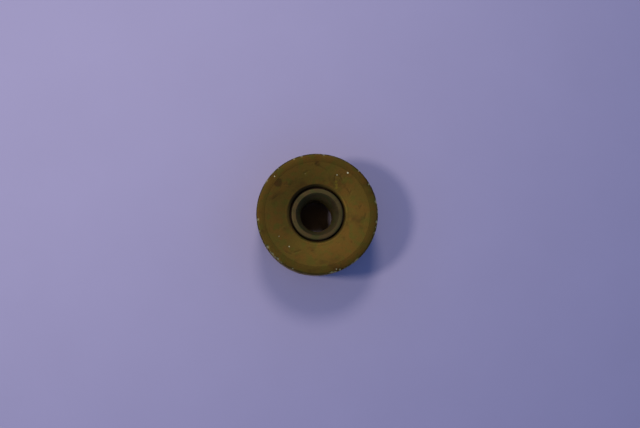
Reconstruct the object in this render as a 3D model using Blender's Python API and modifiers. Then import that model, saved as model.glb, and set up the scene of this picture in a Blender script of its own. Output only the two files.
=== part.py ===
"""Yoke-type cam follower: a crowned roller turning on caged needle rollers.

The bore axis is world Z and the origin is the middle of the width.
All driving dimensions are in millimetres and are turned into metres by MM.
"""

import math

import bmesh
import bpy
from mathutils import Matrix

MM = 0.001

# Overall sizes.
OUTER_DIAMETER = 22.0
WIDTH = 12.0
BORE_DIAMETER = 6.0
CROWN_RADIUS = 250.0

# Outer ring.
RIM_EDGE_RADIUS = 0.35
RACEWAY_RADIUS = 7.4
PLATE_SEAT_RADIUS = 9.5
PLATE_SEAT_HEIGHT = 3.93
SEAT_MOUTH_CHAMFER = 0.04

# Side plates that close both faces of the roller.
PRESS_CLEARANCE = 0.02
PLATE_INNER_HEIGHT = 3.95
PLATE_BORE_RADIUS = 4.95
PLATE_DISH_RADIUS = 5.7
PLATE_DISH_DEPTH = 0.7
PLATE_LIP_DROP = 0.35
PLATE_EDGE_BREAK = 0.08
PLATE_EDGE_DROP = 0.03
SEAL_POCKET_RADIUS = 6.3
SEAL_POCKET_HEIGHT = 4.35

# Seals and thrust washers behind the plates.
SEAL_LIP_RADIUS = 4.73
SEAL_LIP_BEVEL = 0.3
SEAL_OUTER_RADIUS = 6.27
SEAL_BOTTOM = 3.98
SEAL_TOP = 4.32
WASHER_BORE_RADIUS = 4.8
WASHER_OUTER_RADIUS = 7.36
WASHER_BOTTOM = 3.45
WASHER_TOP = 3.91

# Inner ring.
RACE_RADIUS = 5.7
RACE_HALF_LENGTH = 3.35
HUB_RADIUS = 4.69
HUB_RECESS = 0.8
HUB_EDGE_BREAK = 0.2
MOUTH_RADIUS = 3.8
MOUTH_SLOPE_DEGREES = 73.0

# Needle rollers and their cage.
NEEDLE_COUNT = 16
NEEDLE_CLEARANCE = 0.03
NEEDLE_HALF_LENGTH = 2.8
NEEDLE_END_RADIAL = 0.15
NEEDLE_END_AXIAL = 0.2
CAGE_INNER_RADIUS = 6.15
CAGE_OUTER_RADIUS = 6.95
CAGE_HALF_LENGTH = 3.25
CAGE_EDGE_BREAK = 0.1
WINDOW_WIDTH = 1.82
WINDOW_LENGTH = 5.8
WINDOW_DEPTH = 2.0

# Fineness of the turned shapes.
RING_SEGMENTS = 64
NEEDLE_SEGMENTS = 16
SHARP_ANGLE = math.radians(30.0)

# Colour, metallic, roughness.
FINISHES = {
    "black_oxide_steel": ((0.105, 0.066, 0.020), 0.75, 0.50),
    "plate_steel": ((0.110, 0.069, 0.019), 0.75, 0.52),
    "ground_steel": ((0.100, 0.075, 0.034), 0.80, 0.42),
    "needle_steel": ((0.480, 0.470, 0.450), 1.00, 0.22),
    "cage_steel": ((0.300, 0.285, 0.250), 0.95, 0.40),
    "thrust_bronze": ((0.420, 0.240, 0.085), 0.90, 0.38),
    "seal_rubber": ((0.016, 0.015, 0.014), 0.00, 0.65),
}


def clear_scene():
    for item in list(bpy.data.objects):
        bpy.data.objects.remove(item, do_unlink=True)


def new_collection(name):
    made = bpy.data.collections.new(name)
    bpy.context.scene.collection.children.link(made)
    return made


def make_material(name):
    colour, metallic, roughness = FINISHES[name]
    material = bpy.data.materials.new(name)
    material.use_nodes = True
    shader = material.node_tree.nodes["Principled BSDF"]
    shader.inputs["Base Color"].default_value = (*colour, 1.0)
    shader.inputs["Metallic"].default_value = metallic
    shader.inputs["Roughness"].default_value = roughness
    return material


def arc(centre_r, centre_z, size_r, size_z, start, end, steps):
    """Points of an elliptic arc in the half plane, angles in degrees."""
    points = []
    for index in range(steps + 1):
        angle = math.radians(start + (end - start) * index / steps)
        points.append((centre_r + size_r * math.cos(angle), centre_z + size_z * math.sin(angle)))
    return points


def profile_mesh(name, profile, closed):
    """Edge loop of (radius, height) points lying at +X in the XZ plane."""
    mesh = bpy.data.meshes.new(name)
    outline = bmesh.new()
    verts = [outline.verts.new((r * MM, 0.0, z * MM)) for r, z in profile]
    for first, second in zip(verts, verts[1:]):
        outline.edges.new((first, second))
    if closed:
        outline.edges.new((verts[-1], verts[0]))
    outline.to_mesh(mesh)
    outline.free()
    return mesh


def place(name, mesh, collection, location=(0.0, 0.0, 0.0), flipped=False):
    item = bpy.data.objects.new(name, mesh)
    item.location = [value * MM for value in location]
    if flipped:
        item.rotation_euler = (math.pi, 0.0, 0.0)
    collection.objects.link(item)
    return item


def turn(item, segments):
    """Turn an outline about the object's own Z axis."""
    screw = item.modifiers.new("Turned", "SCREW")
    screw.axis = "Z"
    screw.angle = 2.0 * math.pi
    screw.steps = segments
    screw.render_steps = segments
    screw.use_merge_vertices = True
    screw.merge_threshold = 0.000001
    screw.use_smooth_shade = True
    return item


def settle(item):
    """Turn the modifiers of an object into its own mesh, with crisp edges kept."""
    graph = bpy.context.evaluated_depsgraph_get()
    solid = bpy.data.meshes.new_from_object(item.evaluated_get(graph), depsgraph=graph)
    item.modifiers.clear()
    item.data = solid
    solid.shade_smooth()
    solid.set_sharp_from_angle(angle=SHARP_ANGLE)
    return item


def turned_part(name, profile, material, collection, closed=True, segments=RING_SEGMENTS):
    mesh = profile_mesh(name, profile, closed)
    mesh.materials.append(material)
    return settle(turn(place(name, mesh, collection), segments))


def mirrored(points):
    """Upper half of an outline followed by its mirror image below mid-width."""
    return points + [(r, -z) for r, z in reversed(points)]


def crown_radius_at(height):
    return OUTER_DIAMETER / 2.0 - height * height / (2.0 * CROWN_RADIUS)


def outer_ring_profile():
    half = WIDTH / 2.0
    edge_height = half - RIM_EDGE_RADIUS
    edge_centre = crown_radius_at(edge_height) - RIM_EDGE_RADIUS
    rim = arc(edge_centre, edge_height, RIM_EDGE_RADIUS, RIM_EDGE_RADIUS, 90.0, 0.0, 4)
    side = [(crown_radius_at(z), z) for z in (3.0, 0.0, -3.0)]
    outside = rim + side + [(r, -z) for r, z in reversed(rim)]
    inside = [
        (PLATE_SEAT_RADIUS + SEAT_MOUTH_CHAMFER, half),
        (PLATE_SEAT_RADIUS, half - SEAT_MOUTH_CHAMFER),
        (PLATE_SEAT_RADIUS, PLATE_SEAT_HEIGHT),
        (RACEWAY_RADIUS, PLATE_SEAT_HEIGHT),
    ]
    return outside + [(r, -z) for r, z in inside] + list(reversed(inside))


def side_plate_profile():
    face = WIDTH / 2.0
    dish = face - PLATE_DISH_DEPTH
    outer = PLATE_SEAT_RADIUS - PRESS_CLEARANCE
    lip_width = PLATE_DISH_RADIUS - PLATE_BORE_RADIUS
    lip_foot = dish - PLATE_LIP_DROP
    lip = arc(PLATE_DISH_RADIUS, lip_foot, lip_width, PLATE_LIP_DROP, 180.0, 98.0, 6)
    return [
        (outer - PLATE_EDGE_BREAK, face - PLATE_EDGE_DROP),
        (outer, face - PLATE_EDGE_DROP - PLATE_EDGE_BREAK),
        (outer, PLATE_INNER_HEIGHT),
        (SEAL_POCKET_RADIUS, PLATE_INNER_HEIGHT),
        (SEAL_POCKET_RADIUS, SEAL_POCKET_HEIGHT),
        (PLATE_BORE_RADIUS, SEAL_POCKET_HEIGHT),
    ] + lip


def seal_profile():
    middle = (SEAL_BOTTOM + SEAL_TOP) / 2.0
    return [
        (SEAL_OUTER_RADIUS, SEAL_TOP),
        (SEAL_OUTER_RADIUS, SEAL_BOTTOM),
        (SEAL_LIP_RADIUS + SEAL_LIP_BEVEL, SEAL_BOTTOM),
        (SEAL_LIP_RADIUS, middle),
        (SEAL_LIP_RADIUS, SEAL_TOP),
    ]


def washer_profile():
    return [
        (WASHER_OUTER_RADIUS, WASHER_TOP),
        (WASHER_OUTER_RADIUS, WASHER_BOTTOM),
        (WASHER_BORE_RADIUS, WASHER_BOTTOM),
        (WASHER_BORE_RADIUS, WASHER_TOP),
    ]


def inner_ring_profile():
    face = WIDTH / 2.0 - HUB_RECESS
    bore = BORE_DIAMETER / 2.0
    mouth_depth = (MOUTH_RADIUS - bore) * math.tan(math.radians(MOUTH_SLOPE_DEGREES))
    outside = [
        (HUB_RADIUS - HUB_EDGE_BREAK, face),
        (HUB_RADIUS, face - HUB_EDGE_BREAK),
        (HUB_RADIUS, RACE_HALF_LENGTH),
        (RACE_RADIUS - HUB_EDGE_BREAK, RACE_HALF_LENGTH),
        (RACE_RADIUS, RACE_HALF_LENGTH - HUB_EDGE_BREAK),
    ]
    inside = [(MOUTH_RADIUS, face), (bore, face - mouth_depth)]
    return mirrored(outside) + [(r, -z) for r, z in inside] + list(reversed(inside))


def cage_profile():
    upper = [
        (CAGE_OUTER_RADIUS - CAGE_EDGE_BREAK, CAGE_HALF_LENGTH),
        (CAGE_OUTER_RADIUS, CAGE_HALF_LENGTH - CAGE_EDGE_BREAK),
    ]
    inner = [(CAGE_INNER_RADIUS, -CAGE_HALF_LENGTH), (CAGE_INNER_RADIUS, CAGE_HALF_LENGTH)]
    return mirrored(upper) + inner


def needle_profile():
    radius = (RACEWAY_RADIUS - RACE_RADIUS) / 2.0 - NEEDLE_CLEARANCE
    upper = [
        (0.0, NEEDLE_HALF_LENGTH),
        (radius - NEEDLE_END_RADIAL, NEEDLE_HALF_LENGTH),
        (radius, NEEDLE_HALF_LENGTH - NEEDLE_END_AXIAL),
    ]
    return mirrored(upper)


def needle_angle(index):
    return 2.0 * math.pi * index / NEEDLE_COUNT


def window_cutter(collection):
    """Sixteen blocks that open the needle windows of the cage."""
    mesh = bpy.data.meshes.new("window_cutter")
    blocks = bmesh.new()
    pitch = (CAGE_INNER_RADIUS + CAGE_OUTER_RADIUS) / 2.0
    scale = Matrix.Diagonal((WINDOW_DEPTH * MM, WINDOW_WIDTH * MM, WINDOW_LENGTH * MM, 1.0))
    for index in range(NEEDLE_COUNT):
        turn_about_axis = Matrix.Rotation(needle_angle(index), 4, "Z")
        outward = Matrix.Translation((pitch * MM, 0.0, 0.0))
        bmesh.ops.create_cube(blocks, size=1.0, matrix=turn_about_axis @ outward @ scale)
    blocks.to_mesh(mesh)
    blocks.free()
    cutter = place("window_cutter", mesh, collection)
    cutter.hide_render = True
    cutter.display_type = "WIRE"
    return cutter


def build_cage(material, collection, cutters):
    mesh = profile_mesh("needle_cage", cage_profile(), True)
    mesh.materials.append(material)
    cage = turn(place("needle_cage", mesh, collection), RING_SEGMENTS)
    windows = cage.modifiers.new("Windows", "BOOLEAN")
    windows.operation = "DIFFERENCE"
    windows.solver = "EXACT"
    windows.object = window_cutter(cutters)
    bpy.context.view_layer.update()
    return settle(cage)


def build_needles(material, collection):
    first = turned_part(
        "needle_01", needle_profile(), material, collection, closed=False, segments=NEEDLE_SEGMENTS
    )
    pitch = (RACEWAY_RADIUS + RACE_RADIUS) / 2.0
    first.location = (pitch * MM, 0.0, 0.0)
    for index in range(1, NEEDLE_COUNT):
        angle = needle_angle(index)
        spot = (pitch * math.cos(angle), pitch * math.sin(angle), 0.0)
        place(f"needle_{index + 1:02d}", first.data, collection, spot)


def build_pair(stem, profile, material, collection):
    """A turned piece above mid-width and its twin turned over below."""
    upper = turned_part(f"{stem}_upper", profile, material, collection)
    place(f"{stem}_lower", upper.data, collection, flipped=True)


def build():
    clear_scene()
    follower = new_collection("cam_follower")
    cutters = new_collection("cutters")
    finish = {name: make_material(name) for name in FINISHES}
    turned_part("outer_ring", outer_ring_profile(), finish["black_oxide_steel"], follower)
    turned_part("inner_ring", inner_ring_profile(), finish["ground_steel"], follower)
    build_pair("side_plate", side_plate_profile(), finish["plate_steel"], follower)
    build_pair("seal", seal_profile(), finish["seal_rubber"], follower)
    build_pair("thrust_washer", washer_profile(), finish["thrust_bronze"], follower)
    build_cage(finish["cage_steel"], follower, cutters)
    build_needles(finish["needle_steel"], follower)


build()
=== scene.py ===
"""Looks of the yoke-type cam follower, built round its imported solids.

The bore axis is world Z and the part lies on its lower face. Lengths are in
millimetres and are turned into metres by MM. Angles round the axis are degrees,
counted from +X towards +Y. Colours are linear.
"""

import math

import bmesh
import bpy
import numpy as np
from mathutils import Matrix, Vector


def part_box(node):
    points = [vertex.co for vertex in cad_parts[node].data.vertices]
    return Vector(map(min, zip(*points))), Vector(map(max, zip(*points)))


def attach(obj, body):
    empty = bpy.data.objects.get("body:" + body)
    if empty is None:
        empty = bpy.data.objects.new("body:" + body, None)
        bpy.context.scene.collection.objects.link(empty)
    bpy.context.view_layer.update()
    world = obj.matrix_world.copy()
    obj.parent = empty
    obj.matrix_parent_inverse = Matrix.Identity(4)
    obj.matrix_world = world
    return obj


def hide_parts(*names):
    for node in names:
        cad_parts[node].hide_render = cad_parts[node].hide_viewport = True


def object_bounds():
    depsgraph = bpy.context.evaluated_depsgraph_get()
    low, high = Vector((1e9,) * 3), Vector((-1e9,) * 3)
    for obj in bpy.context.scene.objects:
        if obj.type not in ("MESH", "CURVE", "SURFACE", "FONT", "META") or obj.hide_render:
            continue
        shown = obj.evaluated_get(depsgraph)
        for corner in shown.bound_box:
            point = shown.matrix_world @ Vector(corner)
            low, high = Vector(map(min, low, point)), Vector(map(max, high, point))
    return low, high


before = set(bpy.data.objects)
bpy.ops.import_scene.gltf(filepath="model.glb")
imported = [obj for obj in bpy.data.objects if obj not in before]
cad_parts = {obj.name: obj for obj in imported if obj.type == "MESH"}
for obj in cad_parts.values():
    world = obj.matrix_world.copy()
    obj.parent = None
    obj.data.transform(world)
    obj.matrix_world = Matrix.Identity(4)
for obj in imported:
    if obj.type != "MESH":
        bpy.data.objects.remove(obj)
cad_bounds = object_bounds()

MM = 0.001


def turned_extent(node):
    """Largest radius, lowest and highest point of a CAD node turned about Z."""
    low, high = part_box(node)
    return high.x / MM, low.z / MM, high.z / MM


# Sizes that the frame gives.
RING_RADIUS, _, FACE = turned_extent("outer_ring")
PLATE_RADIUS, PLATE_BACK, _ = turned_extent("side_plate_upper")
RACE_RADIUS, _, HUB_FACE = turned_extent("inner_ring")
SEAL_RADIUS, SEAL_BOTTOM, SEAL_TOP = turned_extent("seal_upper")
WASHER_RADIUS, WASHER_BOTTOM, WASHER_TOP = turned_extent("thrust_washer_upper")
CAGE_RADIUS, _, CAGE_TOP = turned_extent("needle_cage")

# Outer ring. Its face is flat near the rim and curves down to the side plate.
CROWN_RADIUS = 250.0
RIM_EDGE = 0.35
FACE_FLAT_RADIUS = 10.35
FACE_CURVE_RADIUS = 6.9
SEAM_GAP = 0.01
SEAM_STEP = 0.004
SEAT_RADIUS = PLATE_RADIUS + SEAM_GAP
SEAT_CLEARANCE = 0.02
SEAT_FLOOR = PLATE_BACK - SEAT_CLEARANCE
SEAT_MOUTH = 0.008
RACEWAY_RADIUS = 7.4
RACEWAY_MOUTH = 0.15

# Side plates, dished from the rim down to a rounded lip.
PLATE_EDGE = 0.012
DISH_RIM_RADIUS = PLATE_RADIUS - PLATE_EDGE
DISH_FOOT_RADIUS = 5.7
DISH_FOOT_HEIGHT = FACE - 0.7
DISH_BULGE = 0.035
LIP_RADIUS = 4.95
LIP_DROP = 0.52
SEAL_CLEARANCE = 0.03
SEAL_POCKET_RADIUS = SEAL_RADIUS + SEAL_CLEARANCE
SEAL_POCKET_FLOOR = SEAL_TOP + SEAL_CLEARANCE

# Inner ring, called the hub.
HUB_RADIUS = 4.69
HUB_EDGE = 0.26
MOUTH_RADIUS = 3.8
MOUTH_EDGE = 0.10
MOUTH_SLOPE = 73.0
BORE_RADIUS = 3.0
RACE_HALF_LENGTH = 3.35
RACE_EDGE = 0.12
RACE_UNDERCUT = 0.05

# Seals. Each list is a stretch of the section: radius, and distance in from the nearer flat side.
SEAL_BEAD = 0.14
SEAL_UNDERSIDE = [(5.5, 0.0), (5.3, 0.1), (5.05, 0.12)]
SEAL_LIP_RADIUS = 4.73
SEAL_LIP_EDGE = 0.05
SEAL_LIP_DEPTH = 0.09
SEAL_TOPSIDE = [(5.1, 0.02), (5.45, 0.0), (5.9, 0.0), (5.95, 0.05), (6.05, 0.05), (6.1, 0.0)]

# Washers, cage and needles.
WASHER_BORE = 4.8
WASHER_EDGE = 0.06
OIL_GROOVES = 6
OIL_GROOVE_DEPTH = 0.07
OIL_GROOVE_HALF_WIDTH = 0.4
CAGE_BORE = 6.15
CAGE_EDGE = 0.12
WINDOW_DEPTH = 2.0
WINDOW_WIDTH = 1.82
WINDOW_LENGTH = 5.8
WINDOW_CORNER = 0.22
WINDOW_EDGE = 0.03
NEEDLES = sorted(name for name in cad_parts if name.startswith("needle_") and name[-1].isdigit())
NEEDLE_END = 0.2

# Fineness of the meshes.
RING_SEGMENTS = 480
PLATE_SEGMENTS = 384
HUB_SEGMENTS = 256
SMALL_SEGMENTS = 192
NEEDLE_SEGMENTS = 40
FINE_STEP = 0.13
COARSE_STEP = 0.45
MERGE_DISTANCE = 0.0001
SHARP_ANGLE = math.radians(35.0)

# Bright worn rim edges, partly a painted highlight: mean, and waves round the turn as count, phase,
# strength.
RIM_WEAR_AND_HIGHLIGHT = 0.51
RIM_WEAR_AND_HIGHLIGHT_WAVES = [(5.0, 1.1, 0.17), (13.0, 0.4, 0.1445), (29.0, 2.0, 0.1105)]
RIM_WEAR_AND_HIGHLIGHT_REACH = 0.1

# Nicks along the upper rim: angle, size, depth.
UPPER_NICKS = [
    (84.0, 0.42, 0.09),
    (131.0, 0.34, 0.07),
    (186.0, 0.50, 0.10),
    (197.0, 0.30, 0.06),
    (214.0, 0.55, 0.12),
    (222.0, 0.38, 0.09),
    (229.0, 0.46, 0.11),
    (246.0, 0.34, 0.07),
    (292.0, 0.38, 0.08),
    (347.0, 0.30, 0.05),
]

# More nicks, scattered along both rims. Pairs are the least and the most.
SCATTERED_NICKS = 26
NICK_SIZES = (0.18, 0.5)
NICK_DEPTHS = (0.02, 0.09)
NICK_INSET = 0.1

# Shallow pits scattered over the running surface.
PITS = 26
PIT_HEIGHTS = (-5.0, 5.0)
PIT_SIZES = (0.25, 0.6)
PIT_DEPTH = 0.03
PIT_RUB = 0.7

# Scratches across the upper plate: start angle and radius, end angle and radius.
UPPER_SCRATCHES = [
    ((63.0, 6.9), (65.0, 7.7)),
    ((65.0, 7.7), (58.5, 8.0)),
    ((58.5, 8.0), (53.0, 7.6)),
    ((89.0, 9.4), (91.7, 9.0)),
    ((91.7, 9.0), (77.0, 8.1)),
    ((132.0, 7.1), (138.0, 8.0)),
    ((246.0, 7.2), (238.0, 8.3)),
]
SCRATCH_WIDTH = 0.16
SCRATCH_DEPTH = 0.022

# More scratches, scattered over both plates.
SCATTERED_SCRATCHES = 9
SCRATCH_RADII = (6.4, 8.8)
SCRATCH_TURNS = (-14.0, 14.0)
SCRATCH_RISES = (-0.5, 0.6)

# Small dents scattered over both plates.
DENTS = 14
DENT_RADII = (6.0, 9.2)
DENT_DEPTHS = (0.01, 0.035)
DENT_SIZES = (0.16, 0.34)
DENT_RUBS = (0.1, 0.6)

# The lip of a plate gets a painted highlight on its lit side and painted shade on the other.
LIP_HIGHLIGHT_SIDE = -55.0
LIP_PAINTED_HIGHLIGHT = 0.6
LIP_PAINTED_SHADE = 1.7
LIP_PAINT_START = DISH_FOOT_RADIUS + 0.05
LIP_PAINT_EASE = 0.35

# Bruises on the inner and outer edges of the hub faces.
BRUISES = 18
BRUISE_RADII = (MOUTH_RADIUS + 0.03, HUB_RADIUS - 0.05)
BRUISE_DEPTHS = (0.015, 0.05)
BRUISE_SIZES = (0.14, 0.3)
BRUISE_RUB = 0.6

# Pale dust specks on the upper face: angle, radius, size.
DUST = [
    (53.7, 9.24, 0.16),
    (63.3, 7.93, 0.09),
    (83.8, 10.93, 0.15),
    (139.0, 10.22, 0.09),
    (210.6, 7.96, 0.07),
    (229.5, 7.73, 0.09),
    (288.8, 10.46, 0.08),
]

# Stains on the upper plate: angle, radius, size, colour.
STAINS = [
    (142.0, 9.1, 0.80, (0.034, 0.013, 0.0060)),
    (90.0, 9.1, 0.50, (0.044, 0.021, 0.0060)),
    (60.0, 6.80, 0.26, (0.120, 0.084, 0.0110)),
    (57.0, 6.35, 0.30, (0.120, 0.084, 0.0110)),
    (54.0, 5.95, 0.26, (0.120, 0.084, 0.0110)),
]
STAIN_STRENGTH = 0.6

# Colours. OIL_FILM is the share of each part of a colour that the film lets through, and far from
# the part the paper turns to a paler, warmer painted light between the two distances given last.
STEEL_TONES = {
    "base": (0.083, 0.050, 0.0100),
    "warm": (0.094, 0.0475, 0.0100),
    "olive": (0.072, 0.0525, 0.0098),
    "dark": (0.042, 0.022, 0.0065),
    "bare_and_highlight": (0.300, 0.235, 0.100),
    "worn": (0.210, 0.170, 0.095),
}
HUB_TONES = {
    "base": (0.060, 0.042, 0.0170),
    "warm": (0.068, 0.041, 0.0170),
    "olive": (0.050, 0.044, 0.0150),
    "dark": (0.030, 0.019, 0.0100),
    "bare_and_highlight": (0.240, 0.200, 0.110),
}
# Painted shade on the shaded side of the plates' lips, and a touch in the deepest grooves.
PAINTED_SHADE_TONE = (0.010, 0.006, 0.003)
DUST_TONE = (0.420, 0.390, 0.270)
NEEDLE_TONE = (0.480, 0.465, 0.440)
CAGE_TONE = (0.270, 0.250, 0.210)
OIL_FILM = (0.62, 0.50, 0.34)
BRONZE_TONE = (0.420, 0.235, 0.080)
BRONZE_FILM_TONE = (0.150, 0.080, 0.030)
RUBBER_TONE = (0.013, 0.006, 0.005)
RUBBER_DUST_TONE = (0.020, 0.010, 0.007)
PAPER_TONE = (0.320, 0.270, 0.420)
FAR_PAPER_PAINTED_LIGHT_TONE = (0.780, 0.520, 0.450)
PAPER_LIGHT_EASE = (90.0, 450.0)

# Aged steel of each kind of piece: metallic, roughness, shade.
RING_STEEL = (0.78, 0.48, 0.79)
PLATE_STEEL = (0.78, 0.48, 0.97)
HUB_STEEL = (0.60, 0.50, 0.95)

# Aged steel: its sheen, the noises that it is mottled with as scale, detail and roughness, the
# lines left by turning as scale and detail, the depth of its relief, and how much painted light
# brightens the mouth of the bore.
STEEL_SPECULAR = 0.12
STEEL_TINT = (1.0, 0.74, 0.38)
PATCHES = (0.42, 3.0, 0.55)
HUES = (0.70, 2.0, 0.5)
CLOUDS = (0.33, 4.0, 0.6)
GRAIN = (7.5, 3.0, 0.6)
PORES = (2.6, 2.0, 0.5)
TURNING_LINES = (9.0, 3.0)
STEEL_RELIEF = 0.010
MOUTH_PAINTED_LIGHT = 1.5
MOUTH_PAINTED_LIGHT_EASE = 0.04

# The worn track round the ring: half its width, how softly it ends, how far inside the largest
# radius it fades out, its streaks as scale and detail, and how much smoother it is.
TRACK_HALF_WIDTH = 4.7
TRACK_EASE = 0.6
TRACK_SKIN = (0.25, 0.12)
TRACK_STREAKS = (3.0, 3.0)
TRACK_SHINE = 0.14

# Floor, and the camera: field of view, width that it sees at the upper face, lean away from
# straight above, angle that it leans to, and the place on the upper face that it looks at.
FLOOR_SIZE = 2000.0
VIEW_ANGLE = 50.0
VIEW_WIDTH = 114.6
VIEW_TILT = 6.5
VIEW_FROM = 247.0
AIM = (0.46, -0.07)

# Lamps: angle round the axis, elevation, distance, width, watts. They face a place beside the
# part, at its mid-width, so that the floor is lighter on that side.
LAMPS = {
    "left_lamp": (183.0, 56.9, 200.0, 30.0, 0.190),
    "top_lamp": (94.0, 56.8, 200.0, 50.0, 0.163),
}
LAMP_COLOUR = (1.0, 0.97, 0.80)
LAMP_AIM = (-50.0, 50.0)

# Sky. It darkens between the two heights, where 0 is the horizon and 1 is straight up.
SKY_COLOUR = (0.34, 0.55, 1.0)
SKY_STRENGTH = 0.76
SKY_HOLE = (0.82, 0.90)


# ---------------------------------------------------------------- outlines


def arc(centre_r, centre_z, size_r, size_z, start, end, steps):
    """Points of an elliptic arc in the half plane."""
    angles = np.radians(np.linspace(start, end, steps + 1))
    return [(centre_r + size_r * math.cos(a), centre_z + size_z * math.sin(a)) for a in angles]


def densify(points, step):
    """The same outline with no stretch longer than a step."""
    fine = [points[0]]
    for (r0, z0), (r1, z1) in zip(points, points[1:]):
        count = max(1, math.ceil(math.hypot(r1 - r0, z1 - z0) / step))
        fine += [(r0 + (r1 - r0) * i / count, z0 + (z1 - z0) * i / count) for i in range(1, count + 1)]
    return fine


def below(points):
    """The mirror image of an outline below mid-width, in the opposite order."""
    return [(r, -z) for r, z in reversed(points)]


def crown_radius_at(height):
    """Radius of the slightly crowned running surface."""
    return RING_RADIUS - height * height / (2.0 * CROWN_RADIUS)


def face_height(radius):
    """Height of the ring's face."""
    return FACE - max(0.0, FACE_FLAT_RADIUS - radius) ** 2 / (2.0 * FACE_CURVE_RADIUS)


# The rim of a side plate stands a little below the ring's face there.
PLATE_TOP = face_height(PLATE_RADIUS) - SEAM_STEP


def dish_height(radius):
    """Height of a side plate's dished face, which bulges gently between rim and foot."""
    share = (DISH_RIM_RADIUS - radius) / (DISH_RIM_RADIUS - DISH_FOOT_RADIUS)
    straight = PLATE_TOP + (DISH_FOOT_HEIGHT - PLATE_TOP) * share
    return straight + DISH_BULGE * math.sin(math.pi * share)


def ring_outline():
    edge_height = FACE - RIM_EDGE
    edge_centre = crown_radius_at(edge_height) - RIM_EDGE
    flat = densify([(SEAT_RADIUS + SEAT_MOUTH, FACE), (edge_centre, FACE)], FINE_STEP)[:-1]
    face = [(radius, face_height(radius)) for radius, _ in flat]
    edge = arc(edge_centre, edge_height, RIM_EDGE, RIM_EDGE, 90.0, 0.0, 8)
    side = [(crown_radius_at(z), z) for z in np.arange(FACE - 2.0 * RIM_EDGE, 0.0, -COARSE_STEP)]
    outside = face + edge + side
    inside = [
        (RACEWAY_RADIUS, 0.0),
        (RACEWAY_RADIUS, SEAT_FLOOR - RACEWAY_MOUTH),
        (RACEWAY_RADIUS + RACEWAY_MOUTH, SEAT_FLOOR),
        (SEAT_RADIUS, SEAT_FLOOR),
        (SEAT_RADIUS, face_height(SEAT_RADIUS) - SEAT_MOUTH),
    ]
    wall = densify(inside, 2.0 * COARSE_STEP)
    return outside + below(outside) + below(wall) + wall[1:]


def plate_outline():
    steps = math.ceil((PLATE_RADIUS - DISH_FOOT_RADIUS) / FINE_STEP)
    dish_radii = np.linspace(DISH_RIM_RADIUS, DISH_FOOT_RADIUS, steps + 1)
    dish = [(radius, dish_height(radius)) for radius in dish_radii]
    lip_foot = DISH_FOOT_HEIGHT - LIP_DROP
    lip = arc(DISH_FOOT_RADIUS, lip_foot, DISH_FOOT_RADIUS - LIP_RADIUS, LIP_DROP, 98.0, 180.0, 14)
    back = [
        (LIP_RADIUS, SEAL_POCKET_FLOOR),
        (SEAL_POCKET_RADIUS, SEAL_POCKET_FLOOR),
        (SEAL_POCKET_RADIUS, PLATE_BACK),
        (DISH_RIM_RADIUS, PLATE_BACK),
        (PLATE_RADIUS, PLATE_BACK + PLATE_EDGE),
        (PLATE_RADIUS, PLATE_TOP - PLATE_EDGE),
    ]
    return dish + lip[1:] + densify([lip[-1]] + back, COARSE_STEP)[1:]


def hub_outline():
    mouth_depth = (MOUTH_RADIUS - BORE_RADIUS) * math.tan(math.radians(MOUTH_SLOPE))
    outside = densify([(MOUTH_RADIUS + MOUTH_EDGE, HUB_FACE), (HUB_RADIUS - HUB_EDGE, HUB_FACE)], FINE_STEP)
    outside += arc(HUB_RADIUS - HUB_EDGE, HUB_FACE - HUB_EDGE, HUB_EDGE, HUB_EDGE, 75.0, 0.0, 5)
    outside += [
        (HUB_RADIUS, RACE_HALF_LENGTH + RACE_UNDERCUT),
        (HUB_RADIUS + RACE_UNDERCUT, RACE_HALF_LENGTH),
        (RACE_RADIUS - RACE_EDGE, RACE_HALF_LENGTH),
    ]
    shoulder = RACE_HALF_LENGTH - RACE_EDGE
    outside += arc(RACE_RADIUS - RACE_EDGE, shoulder, RACE_EDGE, RACE_EDGE, 60.0, 0.0, 3)
    outside += [(RACE_RADIUS, RACE_HALF_LENGTH / 3.0)]
    mouth = [(BORE_RADIUS, HUB_FACE - mouth_depth), (MOUTH_RADIUS, HUB_FACE - MOUTH_EDGE)]
    bore = densify([(BORE_RADIUS, 0.0)] + mouth, COARSE_STEP)
    return outside + below(outside) + below(bore) + bore[1:]


def seal_outline():
    """A flat back with a bead, and a thin lip that slopes up to the hub."""
    middle = (SEAL_BOTTOM + SEAL_TOP) / 2.0
    half = (SEAL_TOP - SEAL_BOTTOM) / 2.0
    bead = arc(SEAL_RADIUS - SEAL_BEAD, middle, SEAL_BEAD, half, 90.0, -90.0, 8)
    under = [(radius, SEAL_BOTTOM + depth) for radius, depth in SEAL_UNDERSIDE]
    lip_centre = (SEAL_LIP_RADIUS + SEAL_LIP_EDGE, SEAL_TOP - SEAL_LIP_DEPTH)
    lip = arc(*lip_centre, SEAL_LIP_EDGE, SEAL_LIP_EDGE, 270.0, 90.0, 6)
    over = [(radius, SEAL_TOP - depth) for radius, depth in SEAL_TOPSIDE]
    return bead + under + lip + over


def washer_outline():
    middle = (WASHER_BOTTOM + WASHER_TOP) / 2.0
    half = (WASHER_TOP - WASHER_BOTTOM) / 2.0
    outer = arc(WASHER_RADIUS - WASHER_EDGE, middle, WASHER_EDGE, half, 90.0, -90.0, 8)
    inner = arc(WASHER_BORE + WASHER_EDGE, middle, WASHER_EDGE, half, -90.0, -270.0, 8)
    return densify(outer + inner + [outer[0]], COARSE_STEP)[:-1]


def cage_outline():
    outside = arc(CAGE_RADIUS - CAGE_EDGE, CAGE_TOP - CAGE_EDGE, CAGE_EDGE, CAGE_EDGE, 90.0, 0.0, 5)
    inside = arc(CAGE_BORE + CAGE_EDGE, CAGE_TOP - CAGE_EDGE, CAGE_EDGE, CAGE_EDGE, 180.0, 90.0, 5)
    return outside + below(outside) + below(inside) + inside


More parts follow.
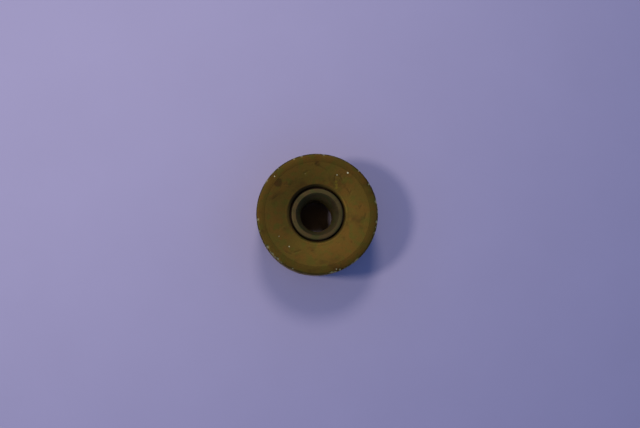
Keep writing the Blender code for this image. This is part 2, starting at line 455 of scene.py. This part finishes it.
def needle_outline(radius, half_length):
    """From the middle of one end to the middle of the other."""
    end = arc(radius - NEEDLE_END, half_length - NEEDLE_END, NEEDLE_END, NEEDLE_END, 90.0, 0.0, 6)
    upper = [(0.0, half_length)] + end + [(radius, half_length * 0.5), (radius, half_length * 0.1)]
    return upper + below(upper)


# ------------------------------------------------------------------ meshes


def polar(radius, degrees, height):
    angle = math.radians(degrees)
    return np.array([radius * math.cos(angle), radius * math.sin(angle), height])


def dish_place(degrees, radius):
    """A place on the upper plate's dished face."""
    return polar(radius, degrees, dish_height(radius))


def turned_points(outline, segments):
    """Points of a turned surface, one copy of the outline after another."""
    shape = np.array(outline)
    angles = np.linspace(0.0, 2.0 * math.pi, segments, endpoint=False)
    radius = shape[None, :, 0]
    rows = np.stack(
        [
            radius * np.cos(angles)[:, None],
            radius * np.sin(angles)[:, None],
            np.broadcast_to(shape[None, :, 1], (segments, len(shape))),
        ],
        axis=2,
    )
    return rows.reshape(-1, 3).copy()


def turned_faces(count, segments, closed):
    """Corners of the quads between neighbouring copies, round the whole turn."""
    last = count if closed else count - 1
    faces = []
    for row in range(segments):
        beside = (row + 1) % segments
        for step in range(last):
            ahead = (step + 1) % count
            faces.append(
                (row * count + step, row * count + ahead, beside * count + ahead, beside * count + step)
            )
    return faces


def turned_mesh(name, outline, segments, closed=True, mark=None):
    """The closed mesh of an outline that is a loop, or that runs from axis to axis.

    Its point value is over 0 on worn places and painted highlights,
    and under 0 in grooves and painted shade.
    """
    points = turned_points(outline, segments)
    wear_and_painted_light = np.zeros(len(points))
    if mark:
        mark(points, wear_and_painted_light)
    mesh = bpy.data.meshes.new(name)
    mesh.from_pydata((points * MM).tolist(), [], turned_faces(len(outline), segments, closed))
    mesh.attributes.new("wear_and_painted_light", "FLOAT", "POINT").data.foreach_set("value", wear_and_painted_light.astype(np.float32))
    shell = bmesh.new()
    shell.from_mesh(mesh)
    bmesh.ops.remove_doubles(shell, verts=shell.verts, dist=MERGE_DISTANCE * MM)
    bmesh.ops.recalc_face_normals(shell, faces=shell.faces)
    shell.to_mesh(mesh)
    shell.free()
    return mesh


def turn_over(mesh):
    """Turn a mesh made for the upper side into its twin for the lower side."""
    mesh.transform(Matrix.Rotation(math.pi, 4, "X"))


def shade_rounded(mesh):
    """Smooth shading, broken at sharp edges."""
    mesh.shade_smooth()
    mesh.set_sharp_from_angle(angle=SHARP_ANGLE)


def add_object(name, data):
    made = bpy.data.objects.new(name, data)
    bpy.context.scene.collection.objects.link(made)
    return made


def make_piece(name, mesh, finish):
    mesh.materials.append(finish)
    shade_rounded(mesh)
    return add_object(name, mesh)


# ------------------------------------------------------------ dents, rubs and painted light


def press(points, wear_and_painted_light, centre, size, push, strength=1.0):
    """Dent the surface round a centre and rub it there."""
    share = np.clip(1.0 - (np.linalg.norm(points - centre, axis=1) / size) ** 2, 0.0, 1.0) ** 2
    points += share[:, None] * push
    np.maximum(wear_and_painted_light, share * strength, out=wear_and_painted_light, where=share > 0.0)


def scratch(points, wear_and_painted_light, start, end):
    """A shallow straight groove between two places on a face that looks up."""
    line = end - start
    along = np.clip((points - start) @ line / (line @ line), 0.0, 1.0)
    gap = np.linalg.norm(points - start - along[:, None] * line, axis=1)
    share = np.clip(1.0 - (gap / SCRATCH_WIDTH) ** 2, 0.0, 1.0)
    points[:, 2] -= share * SCRATCH_DEPTH
    np.minimum(wear_and_painted_light, -share, out=wear_and_painted_light)


def wear_and_highlight_rim_edges(points, wear_and_painted_light):
    """Bright worn metal, partly a painted highlight, that comes and goes along both rounded edges of the
    rim.
    """
    radius = np.hypot(points[:, 0], points[:, 1])
    angle = np.arctan2(points[:, 1], points[:, 0])
    reach = RIM_EDGE + RIM_WEAR_AND_HIGHLIGHT_REACH
    outward = np.clip((radius - RING_RADIUS + reach) / RIM_EDGE, 0.0, 1.0)
    upward = np.clip((np.abs(points[:, 2]) - FACE + reach) / RIM_EDGE, 0.0, 1.0)
    wear_and_highlight = np.full(len(points), RIM_WEAR_AND_HIGHLIGHT)
    for count, phase, strength in RIM_WEAR_AND_HIGHLIGHT_WAVES:
        wear_and_highlight += strength * np.sin(count * angle + phase)
    np.maximum(wear_and_painted_light, outward * upward * wear_and_highlight, out=wear_and_painted_light)


def mark_ring(points, wear_and_painted_light):
    """The outer ring's marks: edges worn bright that also paint a highlight, nicks and pits."""
    wear_and_highlight_rim_edges(points, wear_and_painted_light)
    chance = np.random.default_rng(11)
    nicks = [(degrees, 1.0, size, depth) for degrees, size, depth in UPPER_NICKS]
    for _ in range(SCATTERED_NICKS):
        side = chance.choice((-1.0, 1.0))
        degrees = chance.uniform(0.0, 360.0)
        size = chance.uniform(*NICK_SIZES)
        nicks.append((degrees, side, size, chance.uniform(*NICK_DEPTHS)))
    edge_radius = crown_radius_at(FACE) - NICK_INSET
    for degrees, side, size, depth in nicks:
        centre = polar(edge_radius, degrees, side * (FACE - NICK_INSET))
        press(points, wear_and_painted_light, centre, size, -polar(1.0, degrees, side) * depth)
    for _ in range(PITS):
        degrees = chance.uniform(0.0, 360.0)
        height = chance.uniform(*PIT_HEIGHTS)
        size = chance.uniform(*PIT_SIZES)
        centre = polar(crown_radius_at(height), degrees, height)
        press(points, wear_and_painted_light, centre, size, -polar(PIT_DEPTH, degrees, 0.0), PIT_RUB)


def scattered_scratches(chance):
    lines = []
    for _ in range(SCATTERED_SCRATCHES):
        degrees = chance.uniform(0.0, 360.0)
        radius = chance.uniform(*SCRATCH_RADII)
        turn = chance.uniform(*SCRATCH_TURNS)
        lines.append(((degrees, radius), (degrees + turn, radius + chance.uniform(*SCRATCH_RISES))))
    return lines


def paint_lip_light_and_shade(points, wear_and_painted_light):
    """The lip of a plate: painted highlight on its lit side, painted shade on the other."""
    radius = np.hypot(points[:, 0], points[:, 1])
    inward = np.clip((LIP_PAINT_START - radius) / LIP_PAINT_EASE, 0.0, 1.0)
    side = np.cos(np.arctan2(points[:, 1], points[:, 0]) - math.radians(LIP_HIGHLIGHT_SIDE))
    # The lit side gets a painted highlight, and the far side gets painted shade.
    worn = LIP_PAINTED_HIGHLIGHT * np.sqrt(np.clip(side, 0.0, 1.0))
    wear_and_painted_light += inward * (worn + LIP_PAINTED_SHADE * np.clip(side, -1.0, 0.0))


def mark_plate(chance, scratches):
    """Marks on one plate, with painted light and shade on its lip, drawn as if it were the upper one."""

    def mark(points, wear_and_painted_light):
        paint_lip_light_and_shade(points, wear_and_painted_light)
        for start, end in scratches:
            scratch(points, wear_and_painted_light, dish_place(*start), dish_place(*end))
        for _ in range(DENTS):
            centre = dish_place(chance.uniform(0.0, 360.0), chance.uniform(*DENT_RADII))
            push = np.array([0.0, 0.0, -chance.uniform(*DENT_DEPTHS)])
            size = chance.uniform(*DENT_SIZES)
            press(points, wear_and_painted_light, centre, size, push, chance.uniform(*DENT_RUBS))

    return mark


def mark_hub(points, wear_and_painted_light):
    """Small bruises on the edges of the hub faces."""
    chance = np.random.default_rng(5)
    for _ in range(BRUISES):
        side = chance.choice((-1.0, 1.0))
        degrees = chance.uniform(0.0, 360.0)
        centre = polar(chance.choice(BRUISE_RADII), degrees, side * HUB_FACE)
        push = np.array([0.0, 0.0, -side * chance.uniform(*BRUISE_DEPTHS)])
        press(points, wear_and_painted_light, centre, chance.uniform(*BRUISE_SIZES), push, BRUISE_RUB)


def cut_oil_grooves(points, wear_and_painted_light):
    """Radial grooves across the lower face of a washer."""
    angle = np.arctan2(points[:, 1], points[:, 0])
    radius = np.hypot(points[:, 0], points[:, 1])
    pitch = 2.0 * math.pi / OIL_GROOVES
    turn = np.abs(np.mod(angle / pitch + 0.5, 1.0) - 0.5) * pitch
    share = np.clip(1.0 - (turn * radius / OIL_GROOVE_HALF_WIDTH) ** 2, 0.0, 1.0)
    lower = points[:, 2] < (WASHER_BOTTOM + WASHER_TOP) / 2.0
    points[:, 2] += share * lower * OIL_GROOVE_DEPTH


# --------------------------------------------------------------- materials


class Finish:
    """A node material whose patterns are measured in millimetres on the piece."""

    def __init__(self, name, metallic, roughness, specular=0.5, tint=(1.0, 1.0, 1.0)):
        self.material = bpy.data.materials.new(name)
        self.material.use_nodes = True
        self.tree = self.material.node_tree
        self.shader = self.tree.nodes["Principled BSDF"]
        self.shader.inputs["Metallic"].default_value = metallic
        self.shader.inputs["Roughness"].default_value = roughness
        self.shader.inputs["Specular IOR Level"].default_value = specular
        self.shader.inputs["Specular Tint"].default_value = (*tint, 1.0)
        place = self.node("ShaderNodeTexCoord").outputs["Object"]
        scaled = self.node("ShaderNodeVectorMath", operation="SCALE")
        self.feed(scaled.inputs[0], place)
        scaled.inputs["Scale"].default_value = 1.0 / MM
        self.point = scaled.outputs[0]

    def node(self, kind, **settings):
        made = self.tree.nodes.new(kind)
        for key, value in settings.items():
            setattr(made, key, value)
        return made

    def feed(self, socket, value):
        """Link an output to the socket, or set the socket to a fixed value."""
        if isinstance(value, bpy.types.NodeSocket):
            self.tree.links.new(value, socket)
        else:
            socket.default_value = value

    def math(self, operation, first, second=0.0, third=0.0):
        made = self.node("ShaderNodeMath", operation=operation)
        for socket, value in zip(made.inputs, (first, second, third)):
            self.feed(socket, value)
        return made.outputs[0]

    def fade(self, value, low, high):
        """0 at low and 1 at high, eased between them."""
        made = self.node("ShaderNodeMapRange", interpolation_type="SMOOTHSTEP")
        for key, entry in (("Value", value), ("From Min", low), ("From Max", high)):
            self.feed(made.inputs[key], entry)
        return made.outputs[0]

    def mix(self, factor, first, second):
        made = self.node("ShaderNodeMix", data_type="RGBA")
        for index, value in ((0, factor), (6, first), (7, second)):
            if isinstance(value, tuple):
                value = (*value, 1.0)
            self.feed(made.inputs[index], value)
        return made.outputs[2]

    def cover(self, colour, tone, value, low, high, most=1.0):
        """A colour covered by a tone, from not at all at low to the most at high."""
        return self.mix(self.math("MULTIPLY", self.fade(value, low, high), most), colour, tone)

    def brighten(self, colour, amount):
        made = self.node("ShaderNodeVectorMath", operation="SCALE")
        self.feed(made.inputs[0], colour)
        self.feed(made.inputs["Scale"], amount)
        return made.outputs[0]

    def shifted(self, offset):
        made = self.node("ShaderNodeVectorMath", operation="ADD")
        self.feed(made.inputs[0], self.point)
        made.inputs[1].default_value = offset
        return made.outputs[0]

    def noise(self, scale, detail=2.0, roughness=0.5, offset=(0.0, 0.0, 0.0)):
        made = self.node("ShaderNodeTexNoise")
        self.feed(made.inputs["Vector"], self.shifted(offset))
        made.inputs["Scale"].default_value = scale
        made.inputs["Detail"].default_value = detail
        made.inputs["Roughness"].default_value = roughness
        return made.outputs["Fac"]

    def lines(self, along, scale, detail=2.0):
        """Noise that changes along one measure only, such as the radius."""
        made = self.node("ShaderNodeTexNoise", noise_dimensions="1D")
        self.feed(made.inputs["W"], along)
        made.inputs["Scale"].default_value = scale
        made.inputs["Detail"].default_value = detail
        return made.outputs["Fac"]

    def around(self):
        """Radius and height of the point being shaded."""
        parts = self.node("ShaderNodeSeparateXYZ")
        self.feed(parts.inputs[0], self.point)
        squares = self.math("MULTIPLY", parts.outputs["X"], parts.outputs["X"])
        squares = self.math("MULTIPLY_ADD", parts.outputs["Y"], parts.outputs["Y"], squares)
        return self.math("SQRT", squares), parts.outputs["Z"]

    def attribute(self, name):
        return self.node("ShaderNodeAttribute", attribute_name=name).outputs["Fac"]

    def spot(self, place, size, pattern):
        """1 in the middle of a spot and 0 outside it, with an edge made ragged by a pattern."""
        gap = self.node("ShaderNodeVectorMath", operation="DISTANCE")
        self.feed(gap.inputs[0], self.point)
        gap.inputs[1].default_value = tuple(place)
        ragged = self.math("SUBTRACT", pattern, 0.5)
        edge = self.math("MULTIPLY_ADD", ragged, size, gap.outputs["Value"])
        return self.fade(edge, size * 1.15, size * 0.7)

    def bump(self, height, depth):
        made = self.node("ShaderNodeBump")
        made.inputs["Strength"].default_value = 1.0
        made.inputs["Distance"].default_value = depth * MM
        self.feed(made.inputs["Height"], height)
        self.feed(self.shader.inputs["Normal"], made.outputs["Normal"])

    def colour(self, value):
        self.feed(self.shader.inputs["Base Color"], value)

    def roughness(self, value):
        self.feed(self.shader.inputs["Roughness"], value)


def worn_track(finish, radius, height, clouds):
    """Where the running surface of the ring is rubbed, in streaks round its middle."""
    outside = finish.fade(radius, RING_RADIUS - TRACK_SKIN[0], RING_RADIUS - TRACK_SKIN[1])
    off_middle = finish.math("ABSOLUTE", height)
    middle = finish.fade(off_middle, TRACK_HALF_WIDTH + TRACK_EASE, TRACK_HALF_WIDTH - TRACK_EASE)
    streaks = finish.math("MULTIPLY", finish.lines(height, *TRACK_STREAKS), 0.6)
    patchy = finish.fade(finish.math("MULTIPLY_ADD", clouds, 0.9, streaks), 0.58, 0.86)
    return finish.math("MULTIPLY", finish.math("MULTIPLY", outside, middle), patchy)


def painted_mouth_light(finish, radius, light):
    """The steel's brightness, with painted light that makes it stronger inside the mouth of the bore."""
    inside = finish.fade(radius, MOUTH_RADIUS + MOUTH_PAINTED_LIGHT_EASE, MOUTH_RADIUS - MOUTH_PAINTED_LIGHT_EASE)
    return finish.math("MULTIPLY", light, finish.math("MULTIPLY_ADD", inside, MOUTH_PAINTED_LIGHT - 1.0, 1.0))


def stained(finish, colour, stains, pattern):
    """The colour with stains at their places on the upper plate."""
    for degrees, radius, size, tone in stains:
        spot = finish.spot(dish_place(degrees, radius), size, pattern)
        colour = finish.mix(finish.math("MULTIPLY", spot, STAIN_STRENGTH), colour, tone)
    return colour


def dusted(finish, colour, dust, pattern):
    """The colour with dust specks at their places on the ring or the upper plate."""
    for degrees, radius, size in dust:
        height = FACE if radius > PLATE_RADIUS else dish_height(radius)
        colour = finish.mix(finish.spot(polar(radius, degrees, height), size, pattern), colour, DUST_TONE)
    return colour


def aged_steel(name, tones, seed, metallic, roughness, shade, mouth=False, track=False, stains=(), dust=()):
    """Oxide-dark steel: mottled, finely turned, worn to bright metal in places, with dust on it.

    On the plates' lips the marks paint a highlight and shade, along the rim edges they partly
    paint a highlight, and painted light brightens the mouth of the bore.
    """
    finish = Finish(name, metallic, roughness, specular=STEEL_SPECULAR, tint=STEEL_TINT)
    radius, height = finish.around()
    patches = finish.noise(*PATCHES, (seed, 0.0, 0.0))
    hues = finish.noise(*HUES, (0.0, seed, 3.0))
    clouds = finish.noise(*CLOUDS, (7.0, 2.0, seed))
    grain = finish.noise(*GRAIN)
    pores = finish.noise(*PORES, (seed, seed, 0.0))
    turned = finish.lines(finish.math("ADD", radius, height), *TURNING_LINES)

    colour = finish.cover(tones["base"], tones["warm"], patches, 0.42, 0.62)
    colour = finish.cover(colour, tones["olive"], hues, 0.48, 0.66)
    colour = finish.cover(colour, tones["dark"], clouds, 0.50, 0.70, 0.55)
    colour = finish.cover(colour, tones["dark"], pores, 0.62, 0.74, 0.5)
    light = finish.math("MULTIPLY_ADD", grain, 0.50 * shade, 0.62 * shade)
    light = finish.math("MULTIPLY_ADD", turned, 0.26 * shade, light)
    # Painted light inside the mouth of the bore.
    if mouth:
        light = painted_mouth_light(finish, radius, light)
    colour = finish.brighten(colour, light)
    if track:
        worn = worn_track(finish, radius, height, clouds)
        colour = finish.mix(finish.math("MULTIPLY", worn, 0.75), colour, tones["worn"])

    wear_and_painted_light = finish.attribute("wear_and_painted_light")
    ragged = finish.math("MULTIPLY_ADD", pores, 0.9, wear_and_painted_light)
    ragged = finish.math("MULTIPLY_ADD", grain, 0.3, ragged)
    # Bright worn metal; on the plates' lips and the rim edges it is also a painted highlight.
    bare_and_highlight = finish.fade(ragged, 0.98, 1.32)
    colour = finish.mix(bare_and_highlight, colour, tones["bare_and_highlight"])
    # Darker in grooves; on the side of each plate's lip away from the lamps this is painted shade.
    colour = finish.cover(colour, tones["dark"], wear_and_painted_light, -0.15, -0.8, 0.38)
    colour = finish.cover(colour, PAINTED_SHADE_TONE, wear_and_painted_light, -0.9, -1.6, 0.85)
    colour = stained(finish, colour, stains, clouds)
    finish.colour(dusted(finish, colour, dust, pores))

    dull = finish.math("MULTIPLY_ADD", grain, 0.16, roughness - 0.08)
    dull = finish.math("MULTIPLY_ADD", clouds, 0.10, dull)
    if track:
        dull = finish.math("MULTIPLY_ADD", worn, -TRACK_SHINE, dull)
    finish.roughness(finish.math("MULTIPLY_ADD", bare_and_highlight, -0.14, dull))
    relief = finish.math("MULTIPLY_ADD", turned, 0.6, grain)
    finish.bump(finish.math("MULTIPLY_ADD", pores, 0.5, relief), STEEL_RELIEF)
    return finish.material


def bright_steel(name, tone, roughness, streak_scale):
    """Ground steel with fine rings along its height and a thin brown film of oil."""
    finish = Finish(name, 1.0, roughness)
    _, height = finish.around()
    film = finish.noise(0.9, 3.0, 0.55)
    grain = finish.noise(11.0, 2.0, 0.5)
    ground = finish.lines(height, streak_scale, 2.0)
    colour = finish.brighten(tone, finish.math("MULTIPLY_ADD", ground, 0.22, 0.80))
    oiled = tuple(part * weight for part, weight in zip(tone, OIL_FILM))
    finish.colour(finish.cover(colour, oiled, film, 0.5, 0.72, 0.6))
    finish.roughness(finish.math("MULTIPLY_ADD", grain, 0.14, roughness - 0.05))
    finish.bump(finish.math("ADD", ground, grain), 0.003)
    return finish.material


def bronze(name):
    """Turned bronze with a dark film in patches."""
    finish = Finish(name, 1.0, 0.36)
    radius, _ = finish.around()
    film = finish.noise(0.8, 3.0, 0.6)
    turned = finish.lines(radius, 8.0, 2.0)
    colour = finish.brighten(BRONZE_TONE, finish.math("MULTIPLY_ADD", turned, 0.3, 0.78))
    finish.colour(finish.cover(colour, BRONZE_FILM_TONE, film, 0.55, 0.75))
    finish.roughness(finish.math("MULTIPLY_ADD", film, 0.2, 0.28))
    finish.bump(turned, 0.006)
    return finish.material


def rubber(name):
    """Black rubber with a fine grain and a little dust."""
    finish = Finish(name, 0.0, 0.62, specular=0.12, tint=(1.0, 0.6, 0.5))
    dust = finish.noise(1.6, 3.0, 0.6)
    grain = finish.noise(9.0, 2.0, 0.5)
    finish.colour(finish.cover(RUBBER_TONE, RUBBER_DUST_TONE, dust, 0.58, 0.78))
    finish.roughness(finish.math("MULTIPLY_ADD", grain, 0.2, 0.52))
    finish.bump(grain, 0.012)
    return finish.material


def paper(name):
    """Faintly cloudy paper, with painted light that makes it paler and warmer far from the part."""
    finish = Finish(name, 0.0, 0.9, specular=0.1)
    cloudy = finish.noise(0.05, 3.0, 0.6)
    fibre = finish.noise(2.2, 2.0, 0.6)
    light = finish.math("MULTIPLY_ADD", cloudy, 0.07, 0.955)
    light = finish.math("MULTIPLY_ADD", fibre, 0.02, light)
    out, _ = finish.around()
    # Painted light: far from the part the paper turns to a paler, warmer tone where the lamps fall off.
    finish.colour(finish.cover(finish.brighten(PAPER_TONE, light), FAR_PAPER_PAINTED_LIGHT_TONE, out, *PAPER_LIGHT_EASE))
    return finish.material


# ------------------------------------------------------------------ pieces


def settle_piece(piece, body, slot, *nodes):
    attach(piece, body)
    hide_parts(*nodes)


def build_ring():
    finish = aged_steel("aged_ring_steel", STEEL_TONES, 3.0, *RING_STEEL, track=True, dust=DUST)
    mesh = turned_mesh("crowned_ring", ring_outline(), RING_SEGMENTS, mark=mark_ring)
    settle_piece(make_piece("crowned_ring", mesh, finish), "roller", "black_oxide_steel", "outer_ring")


def build_plates():
    sides = (("upper", UPPER_SCRATCHES, 3, STAINS, DUST), ("lower", [], 22, (), ()))
    for side, scratches, seed, stains, dust in sides:
        chance = np.random.default_rng(seed)
        lines = scratches + scattered_scratches(chance)
        name = f"dished_plate_{side}"
        mesh = turned_mesh(name, plate_outline(), PLATE_SEGMENTS, mark=mark_plate(chance, lines))
        if side == "lower":
            turn_over(mesh)
        steel = f"aged_plate_steel_{side}"
        finish = aged_steel(steel, STEEL_TONES, float(seed), *PLATE_STEEL, stains=stains, dust=dust)
        settle_piece(make_piece(name, mesh, finish), "roller", "plate_steel", f"side_plate_{side}")


def build_hub():
    # The hub's finish paints light into the mouth of the bore.
    finish = aged_steel("aged_hub_steel", HUB_TONES, 9.0, *HUB_STEEL, mouth=True)
    mesh = turned_mesh("hub_ring", hub_outline(), HUB_SEGMENTS, mark=mark_hub)
    settle_piece(make_piece("hub_ring", mesh, finish), "hub", "ground_steel", "inner_ring")


def build_twins(stem, outline, mark, finish, node, slot):
    """One piece at each side of the roller, the lower one turned over."""
    for side in ("upper", "lower"):
        name = f"{stem}_{side}"
        mesh = turned_mesh(name, outline, SMALL_SEGMENTS, mark=mark)
        if side == "lower":
            turn_over(mesh)
        settle_piece(make_piece(name, mesh, finish), "roller", slot, f"{node}_{side}")


def build_seals():
    finish = rubber("seal_rubber_finish")
    build_twins("lip_seal", seal_outline(), None, finish, "seal", "seal_rubber")


def build_washers():
    finish = bronze("bronze_finish")
    outline = washer_outline()
    build_twins("bronze_washer", outline, cut_oil_grooves, finish, "thrust_washer", "thrust_bronze")


def needle_centre(node):
    low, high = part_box(node)
    return (low + high) / 2.0


def window_blocks():
    """Round-cornered blocks, one over each needle, that open the cage."""
    blocks = bmesh.new()
    scale = Matrix.Diagonal((WINDOW_DEPTH * MM, WINDOW_WIDTH * MM, WINDOW_LENGTH * MM, 1.0))
    for node in NEEDLES:
        centre = needle_centre(node)
        turn = Matrix.Rotation(math.atan2(centre.y, centre.x), 4, "Z")
        bmesh.ops.create_cube(blocks, size=1.0, matrix=Matrix.Translation(centre) @ turn @ scale)
    radial = [edge for edge in blocks.edges if abs(edge.verts[0].co.z - edge.verts[1].co.z) < 1e-6]
    radial = [edge for edge in radial if abs(edge.calc_length() - WINDOW_DEPTH * MM) < 1e-5]
    bmesh.ops.bevel(blocks, geom=radial, offset=WINDOW_CORNER * MM, segments=4, affect="EDGES", profile=0.5)
    mesh = bpy.data.meshes.new("window_blocks")
    blocks.to_mesh(mesh)
    blocks.free()
    return add_object("window_blocks", mesh)


def build_cage():
    finish = bright_steel("cage_steel_finish", CAGE_TONE, 0.42, 5.0)
    cage = make_piece("needle_basket", turned_mesh("needle_basket", cage_outline(), SMALL_SEGMENTS), finish)
    cutter = window_blocks()
    cut = cage.modifiers.new("Windows", "BOOLEAN")
    cut.operation = "DIFFERENCE"
    cut.solver = "EXACT"
    cut.object = cutter
    soften = cage.modifiers.new("Edges", "BEVEL")
    soften.width = WINDOW_EDGE * MM
    soften.segments = 2
    soften.limit_method = "ANGLE"
    soften.angle_limit = math.radians(50.0)
    graph = bpy.context.evaluated_depsgraph_get()
    mesh = bpy.data.meshes.new_from_object(cage.evaluated_get(graph), depsgraph=graph)
    cage.modifiers.clear()
    cage.data = mesh
    shade_rounded(mesh)
    bpy.data.objects.remove(cutter, do_unlink=True)
    settle_piece(cage, "cage", "cage_steel", "needle_cage")


def build_needles():
    """Pieces that share one mesh, each at its own place round the hub."""
    low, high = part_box(NEEDLES[0])
    radius = (high.x - low.x) / 2.0 / MM
    half_length = (high.z - low.z) / 2.0 / MM
    mesh = turned_mesh("needle_roller", needle_outline(radius, half_length), NEEDLE_SEGMENTS, closed=False)
    mesh.materials.append(bright_steel("needle_steel_finish", NEEDLE_TONE, 0.20, 12.0))
    shade_rounded(mesh)
    for node in NEEDLES:
        piece = add_object(node.replace("needle_", "needle_roller_"), mesh)
        piece.location = needle_centre(node)
        settle_piece(piece, f"{node}_body", "needle_steel", node)


# ------------------------------------------------------------------- stage


def direction(degrees, elevation):
    level = math.cos(math.radians(elevation))
    angle = math.radians(degrees)
    return Vector((level * math.cos(angle), level * math.sin(angle), math.sin(math.radians(elevation))))


def build_floor():
    lowest = cad_bounds[0].z
    bpy.ops.mesh.primitive_plane_add(size=FLOOR_SIZE * MM, location=(0.0, 0.0, lowest))
    floor = bpy.context.object
    floor.name = "paper_floor"
    floor.data.materials.append(paper("lavender_paper"))


def build_lamps():
    for name, (degrees, elevation, distance, width, watts) in LAMPS.items():
        lamp = bpy.data.lights.new(name, "AREA")
        lamp.shape = "DISK"
        lamp.size = width * MM
        lamp.energy = watts
        lamp.color = LAMP_COLOUR
        holder = add_object(name, lamp)
        holder.location = direction(degrees, elevation) * (distance * MM)
        facing = Vector((LAMP_AIM[0] * MM, LAMP_AIM[1] * MM, 0.0)) - holder.location
        holder.rotation_euler = facing.to_track_quat("-Z", "Y").to_euler()
        holder.visible_camera = False


def build_sky():
    """Blue all round and dark overhead, so that the bore stays dark."""
    world = bpy.data.worlds.new("studio")
    world.use_nodes = True
    tree = world.node_tree
    place = tree.nodes.new("ShaderNodeTexCoord")
    parts = tree.nodes.new("ShaderNodeSeparateXYZ")
    fall = tree.nodes.new("ShaderNodeMapRange")
    fall.interpolation_type = "SMOOTHSTEP"
    fall.inputs["From Min"].default_value = SKY_HOLE[0]
    fall.inputs["From Max"].default_value = SKY_HOLE[1]
    fall.inputs["To Min"].default_value = SKY_STRENGTH
    fall.inputs["To Max"].default_value = 0.0
    tree.links.new(place.outputs["Generated"], parts.inputs[0])
    tree.links.new(parts.outputs["Z"], fall.inputs["Value"])
    background = tree.nodes["Background"]
    background.inputs["Color"].default_value = (*SKY_COLOUR, 1.0)
    tree.links.new(fall.outputs[0], background.inputs["Strength"])
    bpy.context.scene.world = world


def build_camera():
    """Almost straight above the part, leaning a little to its -X and -Y side."""
    distance = VIEW_WIDTH * MM / (2.0 * math.tan(math.radians(VIEW_ANGLE / 2.0)))
    aim = Vector((AIM[0] * MM, AIM[1] * MM, cad_bounds[1].z))
    towards = direction(VIEW_FROM, 90.0 - VIEW_TILT)
    data = bpy.data.cameras.new("camera")
    data.angle = math.radians(VIEW_ANGLE)
    data.clip_start = 0.001
    camera = add_object("camera", data)
    right = (-towards).cross(Vector((0.0, 1.0, 0.0))).normalized()
    up = right.cross(-towards)
    camera.rotation_euler = Matrix((right, up, towards)).transposed().to_euler()
    camera.location = aim + towards * distance
    bpy.context.scene.camera = camera


build_ring()
build_plates()
build_hub()
build_seals()
build_washers()
build_cage()
build_needles()
build_floor()
build_lamps()
build_sky()
build_camera()
bpy.context.scene.view_settings.view_transform = "Standard"
